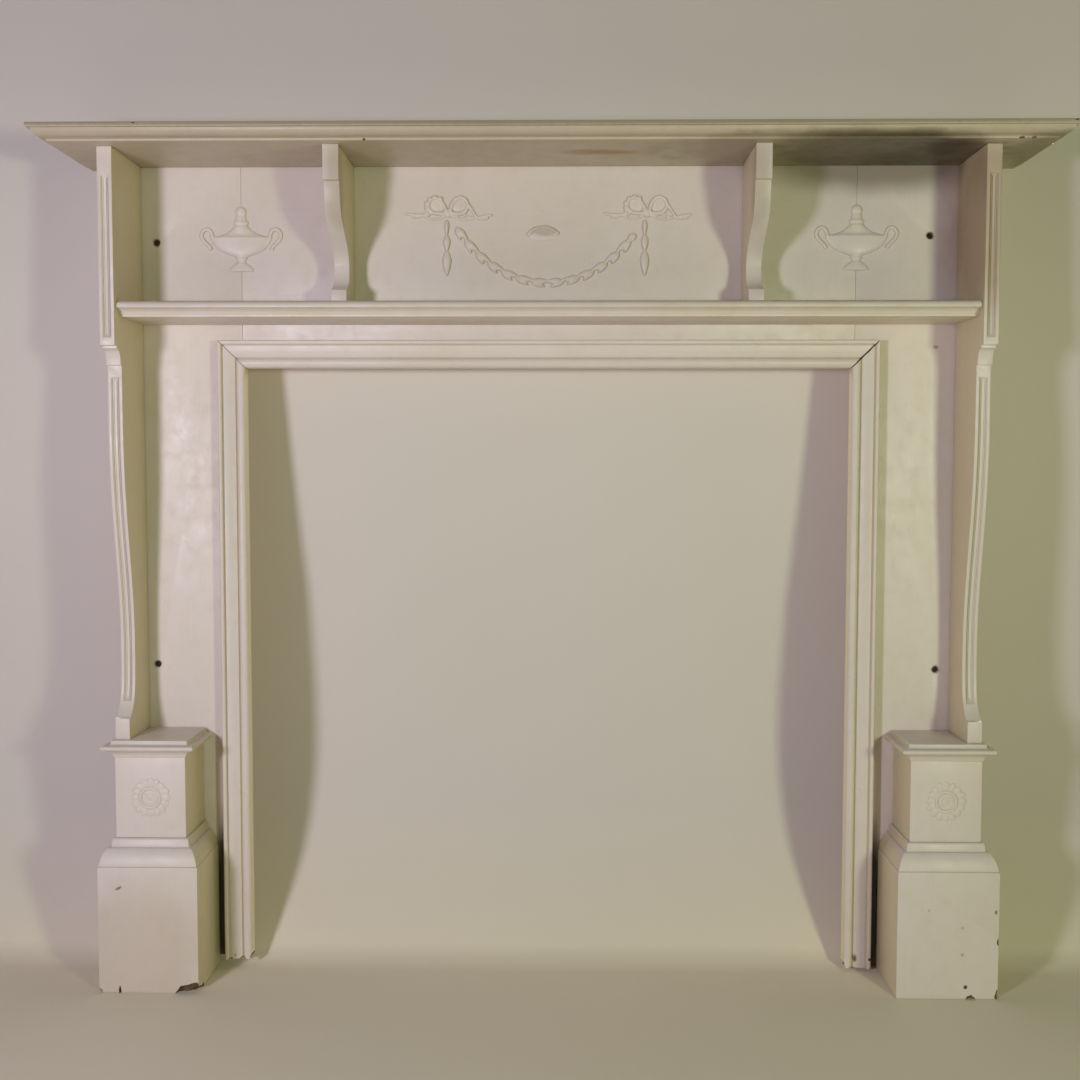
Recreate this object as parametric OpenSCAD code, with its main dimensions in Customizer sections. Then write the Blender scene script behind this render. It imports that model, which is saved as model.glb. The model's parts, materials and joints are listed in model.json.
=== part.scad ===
// Painted pine chimneypiece with an overmantel shelf, niches and plinths.
// It stands on the floor, back to the wall: +Z up, -Y out into the room.
// Origin: floor level, middle of the width, middle of the depth.

/* [Overall] */
// Width over the two side panels
body_w = 1346; // [1200:1:1600]
// Height of the underside of the mantelshelf
shelf_z = 1296; // [1240:1:1440]
// Thickness of the boards at the back
board_t = 25; // [18:0.5:32]

/* [Fire opening] */
// Clear width of the fire opening
opening_w = 965; // [760:1:1016]
// Clear height of the fire opening
opening_h = 976; // [800:1:1000]
// How far the architrave laps over the edge of the boards
lap = 8; // [0:0.5:15]
// Gap of the closed joints between the boards
joint_gap = 0.4; // [0:0.1:1]
// Height of the left leg's foot above the floor, where it is worn short
lift_left = 13; // [0:1:20]
// Height of the right leg's foot above the floor
lift_right = 5; // [0:1:20]

/* [Architrave] */
// Width of the architrave moulding
arch_w = 44; // [36:1:50]
// Thickness of the architrave at its outer bead
arch_t = 25; // [16:1:32]
// Opening of the left mitre
mitre_left = 0.8; // [0:0.1:2]
// Opening of the right mitre, which has pulled apart
mitre_right = 1.6; // [0:0.1:3]

/* [Mantelshelf] */
// How far the shelf's lower edge stands out past the side panels
shelf_over = 68; // [20:1:110]
// Depth of the shelf's lower edge, from the face of the boards
shelf_d = 162; // [150:1:260]
// Thickness of the shelf
shelf_t = 22; // [18:0.5:40]
// How far the shelf's moulded edge stands out past its lower edge
shelf_nose = 22.5; // [12:0.5:40]
// How far the shelf is slipped to the right
shelf_slip = 4.5; // [-8:0.5:8]

/* [Side panels] */
// Thickness of a side panel
panel_t = 22.5; // [16:0.5:30]
// Depth of the upper block of a side panel
block_d = 133; // [128:1:180]
// Depth of the long lower part at its top
upper_d = 103; // [90:1:150]
// Depth of the narrow waist
waist_d = 66; // [40:1:110]
// Depth of the foot
foot_d = 97; // [80:1:140]
// Height of the bottom of the upper block
block_z = 1001; // [960:1:1020]
// Height of the narrowest place
waist_z = 535; // [520:1:620]
// Height of the foot block above the plinth
foot_h = 33; // [15:1:60]
// Width of a flute
flute_w = 12; // [6:0.5:14]
// Depth of a flute
flute_d = 3; // [1:0.5:5]

/* [Lower shelf] */
// Height of the underside of the lower shelf
ledge_z = 1046; // [1036:1:1100]
// Thickness of the lower shelf
ledge_t = 23; // [16:0.5:30]
// Depth of the lower shelf at its nose
ledge_d = 126; // [100:1:128]

/* [Brackets] */
// Distance from the middle to the inner face of a bracket
bracket_x = 309; // [200:1:380]
// Thickness of a bracket
bracket_t = 24; // [16:0.5:30]
// Depth of a bracket under the mantelshelf
bracket_d = 142; // [110:1:148]
// Depth of a bracket at its waist
bracket_waist = 50; // [30:1:80]
// Depth of a bracket at its foot
bracket_foot = 80; // [60:1:100]

/* [Plinths] */
// Height of a plinth's flat top
plinth_h = 393; // [300:1:440]
// Width of the plinth's die
die_w = 110; // [90:1:115]
// Depth of the plinth's die
die_d = 102; // [100:1:150]
// Height of the cap moulding
cap_h = 27; // [18:1:40]
// Projection of the cap moulding
cap_out = 17; // [8:1:20]
// Height of the base block
base_h = 199; // [120:1:220]
// Height of the moulding over the base block
ogee_h = 40; // [20:1:60]
// Projection of the base block past the die
base_out = 23; // [12:1:24]

/* [Screw holes] */
// Radius of the wall screw holes
screw_r = 3.5; // [2:0.25:5]
// Radius of the screw heads' countersinks
sink_r = 6; // [5.5:0.25:9]
// Depth of the countersinks
sink_d = 3; // [1:0.5:6]

/* [Ornament] */
// Thickness of the moulded ornament
relief = 5; // [2:0.5:8]
// Width of an urn over its handles
urn_w = 138; // [90:1:160]
// Width of a rosette as a share of the die's narrower side
rosette_share = 0.58; // [0.3:0.01:0.7]
// Number of petals of a rosette
petals = 12; // [8:1:16]
// Drop of the husk garland
garland_drop = 94; // [60:1:110]
// Half the span of the husk garland
garland_half = 150; // [110:1:180]

/* [Hidden] */

cream = "#e8dfcf";
half_w = body_w / 2;
half_open = opening_w / 2;
joint_x = half_open + lap;
depth = board_t + shelf_d + shelf_nose;
face_y = depth / 2 - board_t;
ledge_top = ledge_z + ledge_t;
panel_in = half_w - panel_t;
die_x = half_w - die_w / 2;
die_h = plinth_h - cap_h - base_h - ogee_h;
bow_x = garland_half + 8.5;
bow_z = shelf_z - 75;
big = 3000;
eps = 0.01;

// Screw holes as [distance from the middle, height], two in each jamb board
holes_left = [[627, 1177], [636, 497]];
holes_right = [[607, 1186], [628, 492]];

// Points of a cubic curve from a to d, drawn towards b and c
function curve(a, b, c, d, n = 14) = [
    for (i = [0:n])
        let (t = i / n, s = 1 - t)
        s * s * s * a + 3 * s * s * t * b + 3 * s * t * t * c + t * t * t * d
];

// Points of an arc about c, radius r, from angle a0 to a1
function arc(c, r, a0, a1, n = 8) = [
    for (i = [0:n])
        let (a = a0 + (a1 - a0) * i / n)
        c + r * [cos(a), sin(a)]
];

// Moves a model drawn from the face of the boards (y = 0) to its place
module on_face() {
    translate([0, face_y, 0]) children();
}

// Draws its children on the left, or mirrored on the right
module sided(side) {
    if (side < 0) children();
    else mirror([1, 0, 0]) children();
}

// Extrudes an outline of [depth, height] points from x = x0 to x = x1
module across(x0, x1, outline) {
    translate([x1, 0, 0])
        rotate([90, 0, -90])
        linear_extrude(height = x1 - x0)
        polygon(outline);
}

// A block whose front and two ends carry one moulding, mitred at the corners.
// The profile gives [projection, height] from bottom to top.
module returned(x0, x1, d, profile) {
    h = profile[len(profile) - 1].y;
    front = concat([[0, 0]], [for (p = profile) [d + p.x, p.y]], [[0, h]]);
    half = (x1 - x0) / 2;
    ends = concat(
        [for (p = profile) [half + p.x, p.y]],
        [for (i = [len(profile) - 1:-1:0]) [-half - profile[i].x, profile[i].y]]);
    intersection() {
        across(x0 - half, x1 + half, front);
        translate([(x0 + x1) / 2, 0, 0])
            rotate([90, 0, 0])
            linear_extrude(height = 2 * big, center = true)
            polygon(ends);
    }
}

// Ovolo edge with a quirk and a square top fillet
module mantelshelf() {
    edge = concat(
        [[0, 0], [0, 3], [2.5, 3.5]],
        curve([3, 4], [0.5 * shelf_nose, 4], [0.72 * shelf_nose, 0.4 * shelf_t],
            [0.74 * shelf_nose, 0.62 * shelf_t]),
        [[0.74 * shelf_nose, 0.7 * shelf_t], [shelf_nose, 0.7 * shelf_t], [shelf_nose, shelf_t]]);
    color(cream)
        translate([shelf_slip, face_y + board_t, shelf_z])
        returned(-half_w - shelf_over, half_w + shelf_over, board_t + shelf_d, edge);
}

// Middle board, between the jamb boards and over the opening
module frieze_board() {
    bottom = opening_h + lap;
    half = joint_x - joint_gap / 2;
    color(cream)
        on_face()
        translate([-half, 0, bottom])
        cube([2 * half, board_t, shelf_z - bottom]);
}

// Full-height board beside the opening, with two countersunk screw holes
module jamb_board(side, lift, holes) {
    inner = joint_x + joint_gap / 2;
    color(cream)
        on_face()
        sided(side)
        difference() {
            translate([-half_w, 0, lift]) cube([half_w - inner, board_t, shelf_z - lift]);
            for (h = holes)
                translate([-h.x, 0, h.y])
                rotate([-90, 0, 0]) {
                    translate([0, 0, -eps]) cylinder(h = board_t + 2 * eps, r = screw_r, $fn = 48);
                    translate([0, 0, -eps]) cylinder(h = sink_d + eps, r1 = sink_r, r2 = screw_r, $fn = 48);
                }
        }
}

// Front edge of a side panel from its foot to its top, as [depth, height]
function panel_edge(shift = 0) =
    let (
        foot_top = plinth_h + foot_h,
        hollow_z = foot_top + 40,
        swell_z = block_z - 130
    )
    concat(
        [[foot_d - shift, plinth_h], [foot_d - shift, foot_top], [foot_d - 6 - shift, foot_top + 1]],
        curve([foot_d - 7 - shift, foot_top + 2], [waist_d + 5 - shift, foot_top + 20],
            [waist_d - shift, hollow_z - 6], [waist_d - shift, waist_z], 12),
        curve([waist_d - shift, waist_z + 4], [waist_d - shift, waist_z + 120],
            [upper_d - 3 - shift, swell_z - 150], [upper_d - shift, swell_z], 16),
        [[upper_d - shift, block_z - 28]],
        [[upper_d + 5 - shift, block_z - 28]],
        curve([upper_d + 5 - shift, block_z - 27], [upper_d + 5 - shift, block_z - 14],
            [upper_d + 10 - shift, block_z - 4], [block_d - 10 - shift, block_z - 4], 8),
        [[block_d - 10 - shift, block_z], [block_d - shift, block_z], [block_d - shift, shelf_z]]);

// Groove that follows the front edge: nested cuts make its hollow section,
// and each cut is shorter than the last so that the ends run out
module flute(z0, z1) {
    steps = 4;
    for (i = [0:steps - 1]) {
        half = flute_w / 2 * cos(90 * i / steps);
        sink = flute_d * sin(90 * (i + 1) / steps);
        trim = (flute_w / 2 - half) * 1.2;
        intersection() {
            across(-half, half, concat(panel_edge(sink), [[big, shelf_z], [big, plinth_h]]));
            translate([-half - 1, -big, z0 + trim]) cube([2 * half + 2, big, z1 - z0 - 2 * trim]);
        }
    }
}

// Shaped upright at each end: block, neck, long swelling curve and foot
module side_panel(side) {
    color(cream)
        on_face()
        sided(side)
        translate([-half_w + panel_t / 2, 0, 0])
        difference() {
            across(-panel_t / 2, panel_t / 2, concat([[0, plinth_h]], panel_edge(), [[0, shelf_z]]));
            flute(block_z + 12, shelf_z - 42);
            flute(plinth_h + foot_h + 24, block_z - 46);
        }
}

// Shaped bracket that stands on the lower shelf and carries the mantelshelf
module bracket(side) {
    block_bottom = shelf_z - 52;
    foot_top = ledge_top + 22;
    edge = concat(
        [[0, ledge_top], [bracket_foot, ledge_top], [bracket_foot, foot_top],
            [bracket_foot - 6, foot_top + 1]],
        curve([bracket_foot - 7, foot_top + 2], [bracket_waist + 2, foot_top + 10],
            [bracket_waist, foot_top + 22], [bracket_waist, foot_top + 40], 10),
        curve([bracket_waist, foot_top + 42], [bracket_waist + 10, foot_top + 80],
            [bracket_d - 12, foot_top + 84], [bracket_d - 9, block_bottom - 14], 14),
        [[bracket_d - 6, block_bottom - 1], [bracket_d, block_bottom], [bracket_d, shelf_z],
            [0, shelf_z]]);
    color(cream)
        on_face()
        sided(side)
        across(-bracket_x - bracket_t, -bracket_x, edge);
}

// Narrow shelf between the side panels, with a nosed front edge
module lower_shelf() {
    inset = ledge_d - 15;
    section = concat(
        [[0, 0], [inset, 0], [inset, 3]],
        curve([inset + 1, 3.5], [inset + 2, 8], [inset + 8, 11], [ledge_d - 3, 11.5], 8),
        [[ledge_d, 12.5]],
        curve([ledge_d, 16], [ledge_d, 20], [ledge_d - 4, ledge_t - 0.5], [ledge_d - 9, ledge_t], 8),
        [[0, ledge_t]]);
    color(cream)
        on_face()
        translate([0, 0, ledge_z])
        across(-panel_in, panel_in, section);
}

// Section of the architrave as [distance from the opening, thickness]:
// bead, quirk, gently hollowed field and raised outer bead
function arch_section() = concat(
    [[0, 0], [0, 0.5 * arch_t]],
    arc([7.5, 0.5 * arch_t], 7.5, 180, 20, 10),
    [[0.36 * arch_w, 0.5 * arch_t]],
    curve([0.38 * arch_w, 0.62 * arch_t], [0.5 * arch_w, 0.74 * arch_t],
        [0.66 * arch_w, 0.76 * arch_t], [0.8 * arch_w, 0.76 * arch_t], 6),
    [[0.82 * arch_w, 0.7 * arch_t], [0.84 * arch_w, 0.8 * arch_t]],
    curve([0.84 * arch_w, 0.86 * arch_t], [0.86 * arch_w, arch_t],
        [0.98 * arch_w, arch_t], [arch_w, 0.84 * arch_t], 6),
    [[arch_w, 0]]);

// Head of the architrave, mitred at both ends
module architrave_head() {
    color(cream)
        on_face()
        translate([0, 0, opening_h])
        intersection() {
            across(-half_open - arch_w, half_open + arch_w, [for (p = arch_section()) [p.y, p.x]]);
            rotate([90, 0, 0])
                linear_extrude(height = 2 * big, center = true)
                polygon([
                    [-half_open + mitre_left, 0], [half_open - mitre_right, 0],
                    [half_open + arch_w - mitre_right, arch_w],
                    [-half_open - arch_w + mitre_left, arch_w]]);
        }
}

// Leg of the architrave, mitred at its top
module architrave_leg(side, lift) {
    color(cream)
        on_face()
        sided(side)
        intersection() {
            translate([-half_open, 0, lift])
                linear_extrude(height = opening_h + arch_w - lift)
                polygon([for (p = arch_section()) [-p.x, -p.y]]);
            rotate([90, 0, 0])
                linear_extrude(height = 2 * big, center = true)
                polygon([
                    [-half_open, 0], [-half_open, opening_h],
                    [-half_open - arch_w, opening_h + arch_w], [-half_open - arch_w, 0]]);
        }
}

// A moulded layer of a plinth, centred on the die, from height z up
module plinth_layer(side, z, profile) {
    color(cream)
        on_face()
        sided(side)
        translate([0, 0, z])
        returned(-die_x - die_w / 2, -die_x + die_w / 2, die_d, profile);
}

// Square block that stands on the floor
module plinth_base(side) {
    plinth_layer(side, 0, [
        [base_out, 0], [base_out, base_h - 1.5], [base_out - 1.5, base_h]]);
}

// Fillet and ovolo between the block and the die
module plinth_moulding(side) {
    plinth_layer(side, base_h, concat(
        curve([base_out - 1.5, 0], [base_out - 3, 0.3 * ogee_h], [base_out - 8, 0.58 * ogee_h],
            [0.42 * base_out, 0.66 * ogee_h], 8),
        [[0.3 * base_out, 0.66 * ogee_h], [0.25 * base_out, 0.7 * ogee_h],
            [0.2 * base_out, 0.95 * ogee_h], [0.12 * base_out, ogee_h]]));
}

// Plain shaft of the plinth
module plinth_die(side) {
    plinth_layer(side, base_h + ogee_h, [[0, 0], [0, die_h]]);
}

// Cove, nose and top fillet, flat on top to carry the side panel
module plinth_cap(side) {
    plinth_layer(side, plinth_h - cap_h, concat(
        curve([1, 0], [2, 0.28 * cap_h], [0.5 * cap_out, 0.4 * cap_h],
            [0.82 * cap_out, 0.46 * cap_h], 6),
        arc([cap_out - 3.5, 0.62 * cap_h], 3.5, -60, 90, 6),
        [[0.36 * cap_out, 0.62 * cap_h + 3.5], [0.27 * cap_out, 0.82 * cap_h],
            [0.27 * cap_out, cap_h]]));
}

// Extrudes flat figures of [x, z] points forward from the face of the boards
module applied(x, z, t = relief) {
    color(cream)
        on_face()
        translate([x, 0, z])
        rotate([90, 0, 0])
        for (i = [0:$children - 1])
            linear_extrude(height = t)
            children(i);
}

// Pointed husk from [0, 0] along +Y
module husk(l, w) {
    r = (l * l + w * w) / (4 * w);
    intersection() {
        translate([r - w / 2, l / 2]) circle(r = r, $fn = 64);
        translate([w / 2 - r, l / 2]) circle(r = r, $fn = 64);
    }
}

// Outline of a ribbon of width w along a path of points
function band(path, w) =
    let (
        n = len(path) - 1,
        side = [for (i = [0:n])
            let (d = path[min(i + 1, n)] - path[max(i - 1, 0)])
            w / 2 * [-d.y, d.x] / norm(d)]
    )
    concat(
        [for (i = [0:n]) path[i] + side[i]],
        [for (i = [n:-1:0]) path[i] - side[i]]);

// Half outline of the urn as [radius, height] shares of its width:
// foot, knop, bowl, rim, hollow lid, collar, neck and ball
function urn_side() = concat(
    [[0, 0], [0.158, 0], [0.158, 0.045]],
    curve([0.14, 0.06], [0.09, 0.07], [0.05, 0.1], [0.035, 0.13], 4),
    arc([0.035, 0.155], 0.034, -60, 60, 4),
    curve([0.06, 0.19], [0.17, 0.21], [0.3, 0.26], [0.34, 0.368], 6),
    [[0.365, 0.372], [0.365, 0.394]],
    curve([0.28, 0.402], [0.18, 0.42], [0.12, 0.46], [0.08, 0.53], 6),
    [[0.095, 0.545], [0.095, 0.585], [0.06, 0.595], [0.042, 0.65]],
    arc([0, 0.7], 0.052, -30, 90, 6));

// Mirrors a list of points in x
function flip(points) = [for (p = points) [-p.x, p.y]];
function reversed(points) = [for (i = [len(points) - 1:-1:0]) points[i]];

// Lidded urn in low relief, with a curled handle on each side
module urn(side, z) {
    s = urn_w;
    half = urn_side();
    curl = arc([0.425, 0.43], 0.07, 228, -70, 14);
    tail = curve([0.45, 0.365], [0.38, 0.335], [0.29, 0.3], [0.345, 0.2], 8);
    applied(side * joint_x, z) {
        polygon(s * concat(half, flip(reversed(half))));
        polygon(s * band(curl, 0.036));
        polygon(s * band(tail, 0.036));
        polygon(s * flip(band(curl, 0.036)));
        polygon(s * flip(band(tail, 0.036)));
    }
}

// Ribbon bow: knot, two loops and two waved tails
module bow(side) {
    loop_r = 17;
    tail = 68;
    applied(side * bow_x, bow_z) {
        circle(r = 8, $fn = 32);
        translate([18, 16]) circle(r = loop_r, $fn = 40);
        translate([-18, 16]) circle(r = loop_r, $fn = 40);
        polygon(band([for (i = [-16:16]) [tail * i / 16, 4 * sin(22 * abs(i))]], 7));
    }
}

// Three husks hanging below a bow
module husk_drop(side) {
    pitch = 28;
    applied(side * bow_x, bow_z - 8.5)
        for (i = [0:2])
            translate([0, -pitch * i]) rotate(180) husk(pitch + 3, 11);
}

// Height of the garland's line above its lowest point, at distance x
function sag(x) = let (a = 0.55 * garland_half)
    garland_drop * (cosh(x / a) - 1) / (cosh(garland_half / a) - 1);
function cosh(v) = (exp(v) + exp(-v)) / 2;

// Chain of husks hung between the two bows
module husk_garland() {
    n = 8;
    low = shelf_z - 92 - garland_drop;
    xs = [for (i = [0:n]) garland_half * sin(90 * i / n)];
    applied(0, low) {
        for (m = [-1, 1])
            for (i = [0:n - 1]) {
                a = [m * xs[i], sag(xs[i])];
                b = [m * xs[i + 1], sag(xs[i + 1])];
                translate(b)
                    rotate(atan2(a.y - b.y, a.x - b.x) - 90)
                    husk(norm(a - b) + 3, 11);
            }
        circle(r = 5, $fn = 32);
    }
}

// Worn oval in the middle of the frieze
module medallion() {
    applied(-7.5, shelf_z - 107, 0.5 * relief)
        scale([2.2, 1]) circle(r = 11, $fn = 48);
}

// Rosette on the face of the die: ring of petals, raised ring and boss
module rosette(side) {
    z = base_h + ogee_h + die_h / 2;
    rosette_r = rosette_share * min(die_w, die_h) / 2;
    color(cream)
        on_face()
        translate([side * die_x, -die_d, z])
        rotate([90, 0, 0]) {
            linear_extrude(height = 0.4 * relief) {
                circle(r = 0.82 * rosette_r, $fn = 64);
                for (i = [0:petals - 1])
                    rotate(360 * i / petals)
                    translate([0.8 * rosette_r, 0])
                    circle(r = 0.2 * rosette_r, $fn = 24);
            }
            cylinder(h = 0.8 * relief, r = 0.5 * rosette_r, $fn = 48);
            cylinder(h = relief, r = 0.2 * rosette_r, $fn = 32);
        }
}

mantelshelf();
frieze_board();
jamb_board(-1, lift_left, holes_left);  // jamb_board_left
jamb_board(1, lift_right, holes_right);  // jamb_board_right
side_panel(-1);  // side_panel_left
side_panel(1);  // side_panel_right
bracket(-1);  // bracket_left
bracket(1);  // bracket_right
lower_shelf();
architrave_head();
architrave_leg(-1, lift_left);  // architrave_left
architrave_leg(1, lift_right);  // architrave_right
plinth_base(-1);  // plinth_base_left
plinth_base(1);  // plinth_base_right
plinth_moulding(-1);  // plinth_moulding_left
plinth_moulding(1);  // plinth_moulding_right
plinth_die(-1);  // plinth_die_left
plinth_die(1);  // plinth_die_right
plinth_cap(-1);  // plinth_cap_left
plinth_cap(1);  // plinth_cap_right
urn(-1, shelf_z - 165.5);  // urn_left
urn(1, shelf_z - 164.5);  // urn_right
bow(-1);  // bow_left
bow(1);  // bow_right
husk_drop(-1);  // husk_drop_left
husk_drop(1);  // husk_drop_right
husk_garland();
medallion();
rosette(-1);  // rosette_left
rosette(1);  // rosette_right
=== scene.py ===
# A painted pine fireplace mantelpiece: a mantelshelf over three niches, shaped uprights
# on square plinths, and an architrave round the opening, with moulded ornaments.
import json
import math
import random

import bpy
from mathutils import Matrix, Vector

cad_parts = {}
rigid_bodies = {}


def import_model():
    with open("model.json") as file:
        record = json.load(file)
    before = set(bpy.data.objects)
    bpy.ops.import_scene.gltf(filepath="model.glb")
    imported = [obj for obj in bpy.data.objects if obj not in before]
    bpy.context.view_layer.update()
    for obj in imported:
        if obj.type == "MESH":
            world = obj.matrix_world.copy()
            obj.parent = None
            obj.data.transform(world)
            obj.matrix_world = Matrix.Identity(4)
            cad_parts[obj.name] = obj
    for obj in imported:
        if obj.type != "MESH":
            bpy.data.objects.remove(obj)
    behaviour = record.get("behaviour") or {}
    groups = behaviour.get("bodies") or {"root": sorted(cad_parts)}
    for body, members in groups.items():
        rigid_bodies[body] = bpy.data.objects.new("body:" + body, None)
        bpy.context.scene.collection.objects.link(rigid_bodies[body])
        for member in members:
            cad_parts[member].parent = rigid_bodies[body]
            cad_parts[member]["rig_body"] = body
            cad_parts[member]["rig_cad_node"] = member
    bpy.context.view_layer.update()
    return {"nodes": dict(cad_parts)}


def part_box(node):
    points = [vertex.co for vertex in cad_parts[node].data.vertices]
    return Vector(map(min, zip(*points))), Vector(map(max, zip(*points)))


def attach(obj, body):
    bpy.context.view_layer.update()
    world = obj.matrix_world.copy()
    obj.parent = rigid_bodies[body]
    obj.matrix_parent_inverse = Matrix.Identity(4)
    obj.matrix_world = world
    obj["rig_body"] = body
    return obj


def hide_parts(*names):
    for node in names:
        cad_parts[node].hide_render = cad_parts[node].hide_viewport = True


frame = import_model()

MM = 0.001
bpy.ops.object.select_all(action="DESELECT")


# ---------------------------------------------------------------------------
# The studio: a roll of pale paper that hangs behind the mantelpiece and curves
# out over the floor, lit by two large soft lamps that stand low to each side.
# ---------------------------------------------------------------------------

def linear(code):
    """Turns an sRGB hex colour into the linear colour that a shader takes."""
    channels = [int(code[i:i + 2], 16) / 255 for i in (1, 3, 5)]
    return tuple(c / 12.92 if c <= 0.04045 else ((c + 0.055) / 1.055) ** 2.4 for c in channels) + (1.0,)


def add(tree, kind, inputs=(), **settings):
    """Adds a node with its settings; each input is a value or the output that feeds it."""
    made = tree.nodes.new(kind)
    for name, value in settings.items():
        setattr(made, name, value)
    for key, value in dict(inputs).items():
        if isinstance(value, bpy.types.NodeSocket):
            tree.links.new(value, made.inputs[key])
        else:
            made.inputs[key].default_value = value
    return made


def paper(name, wall, floor):
    """Matt background paper: faint cloudy tone, painted paler on the floor as painted light from above, no
    gloss.
    """
    made = bpy.data.materials.new(name)
    made.use_nodes = True
    tree = made.node_tree
    tree.nodes.clear()
    place = add(tree, "ShaderNodeTexCoord").outputs["Object"]
    # Painted light: the floor part is made paler than the wall, standing in for light from above
    height = add(tree, "ShaderNodeSeparateXYZ", {"Vector": place}).outputs["Z"]
    rise = add(tree, "ShaderNodeMapRange", {"Value": height, "From Min": 0.0, "From Max": 0.22})
    ground = add(tree, "ShaderNodeMix", {
        0: rise.outputs[0], 6: linear(floor), 7: linear(wall)}, data_type="RGBA")
    cloud = add(tree, "ShaderNodeTexNoise", {"Vector": place, "Scale": 2.0, "Detail": 3.0})
    cloudy = add(tree, "ShaderNodeMapRange", {"Value": cloud.outputs["Fac"], "To Max": 0.08})
    tone = add(tree, "ShaderNodeMix", {
        0: cloudy.outputs[0], 6: ground.outputs[2], 7: linear("#a79f92")}, data_type="RGBA")
    shader = add(tree, "ShaderNodeBsdfPrincipled", {
        "Base Color": tone.outputs[2], "Roughness": 0.85, "Specular IOR Level": 0.2})
    # From behind the paper is left out of the view, so that the back of the mantelpiece can be seen
    side = add(tree, "ShaderNodeNewGeometry")
    gone = add(tree, "ShaderNodeBsdfTransparent")
    seen = add(tree, "ShaderNodeMixShader", {
        0: side.outputs["Backfacing"], 1: shader.outputs["BSDF"], 2: gone.outputs[0]})
    add(tree, "ShaderNodeOutputMaterial", {"Surface": seen.outputs[0]})
    return made


# The paper's line in depth and height: flat floor, a curve behind the feet, a wall that leans forward
paper_width = 12
sweep_line = [
    (-6.0, 0.0), (-2.0, 0.0), (0.05, 0.0), (0.108, 0.0), (0.125, 0.018), (0.150, 0.045), (0.185, 0.085),
    (0.225, 0.140), (0.250, 0.195), (0.270, 0.270), (0.277, 0.340), (0.274, 0.420), (0.255, 0.585),
    (0.217, 0.762), (0.195, 0.880), (0.180, 0.970), (0.165, 1.080), (0.150, 1.250), (0.140, 1.500),
    (0.135, 3.2)]
bpy.ops.mesh.primitive_plane_add(size=1, location=(0, sweep_line[0][0], 0))
backdrop = bpy.context.active_object
backdrop.name = "paper_sweep"
bpy.ops.object.mode_set(mode="EDIT")
bpy.ops.mesh.select_all(action="SELECT")
bpy.ops.mesh.merge(type="CENTER")
bpy.ops.mesh.extrude_region_move(TRANSFORM_OT_translate={"value": (paper_width, 0, 0)})
bpy.ops.mesh.select_all(action="SELECT")
bpy.ops.transform.translate(value=(-paper_width / 2, 0, 0))
for (y0, z0), (y1, z1) in zip(sweep_line, sweep_line[1:]):
    bpy.ops.mesh.extrude_region_move(TRANSFORM_OT_translate={"value": (0, y1 - y0, z1 - z0)})
bpy.ops.object.mode_set(mode="OBJECT")
bpy.ops.object.transform_apply(location=True, rotation=True, scale=True)
bpy.ops.object.shade_smooth()
backdrop.data.materials.append(paper("background_paper", "#e3dedb", "#f0e9d8"))

# Camera: at the eye height of someone seated, on a 41.5 mm lens
eye = Vector((0.0201, -1.9315, 0.8144))
look = Vector((-0.01582, 0.99829, -0.05636))
roll = 0.001
bpy.ops.object.camera_add(location=eye)
camera = bpy.context.active_object
camera.rotation_euler = (look.to_track_quat("-Z", "Y").to_matrix().to_4x4()
                         @ Matrix.Rotation(roll, 4, "Z")).to_euler()
camera.data.sensor_width = 36.0
camera.data.lens = 41.52
camera.data.clip_start = 0.05
bpy.context.scene.camera = camera
bpy.context.scene.view_settings.view_transform = "Standard"


def lamp(name, place, aim, power, colour, across):
    """A round soft lamp turned to a point, measured in metres and watts."""
    bpy.ops.object.light_add(type="AREA", location=place)
    made = bpy.context.active_object
    made.name = name
    made.data.shape = "DISK"
    made.data.size = across
    made.visible_camera = False
    made.data.energy = power
    made.data.color = linear(colour)[:3]
    made.data.cycles.use_multiple_importance_sampling = False
    made.rotation_euler = (Vector(aim) - Vector(place)).to_track_quat("-Z", "Y").to_euler()
    return made


# A cool lamp on the left and a yellower one on the right, which gives the shadows their two tints
lamp_across = 0.28
lamp("lamp_left", (-1.14, -1.97, 0.87), (-0.40, 0, 0.75), 20.5, "#f7eeff", lamp_across)
lamp("lamp_right", (1.27, -2.20, 0.87), (0.40, 0, 0.70), 16.4, "#f5ffce", lamp_across)
world = bpy.data.worlds.new("room")
bpy.context.scene.world = world
world.use_nodes = True
room = world.node_tree
fill = room.nodes["Background"]
fill.inputs["Color"].default_value = linear("#ffe6b8")
fill.inputs["Strength"].default_value = 0.035
# The room past the paper's edge is pale where the camera looks straight at it
beyond = add(room, "ShaderNodeBackground", {"Color": linear("#c9c4ba"), "Strength": 1.0})
straight = add(room, "ShaderNodeLightPath")
either = add(room, "ShaderNodeMixShader", {
    0: straight.outputs["Is Camera Ray"], 1: fill.outputs[0], 2: beyond.outputs[0]})
room.links.new(either.outputs[0], room.nodes["World Output"].inputs["Surface"])


# ---------------------------------------------------------------------------
# The back: a frieze board between two full-height jamb boards, pine planks
# planed flat and butted edge to edge. Two screws a side held them to the wall.
# ---------------------------------------------------------------------------

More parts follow.
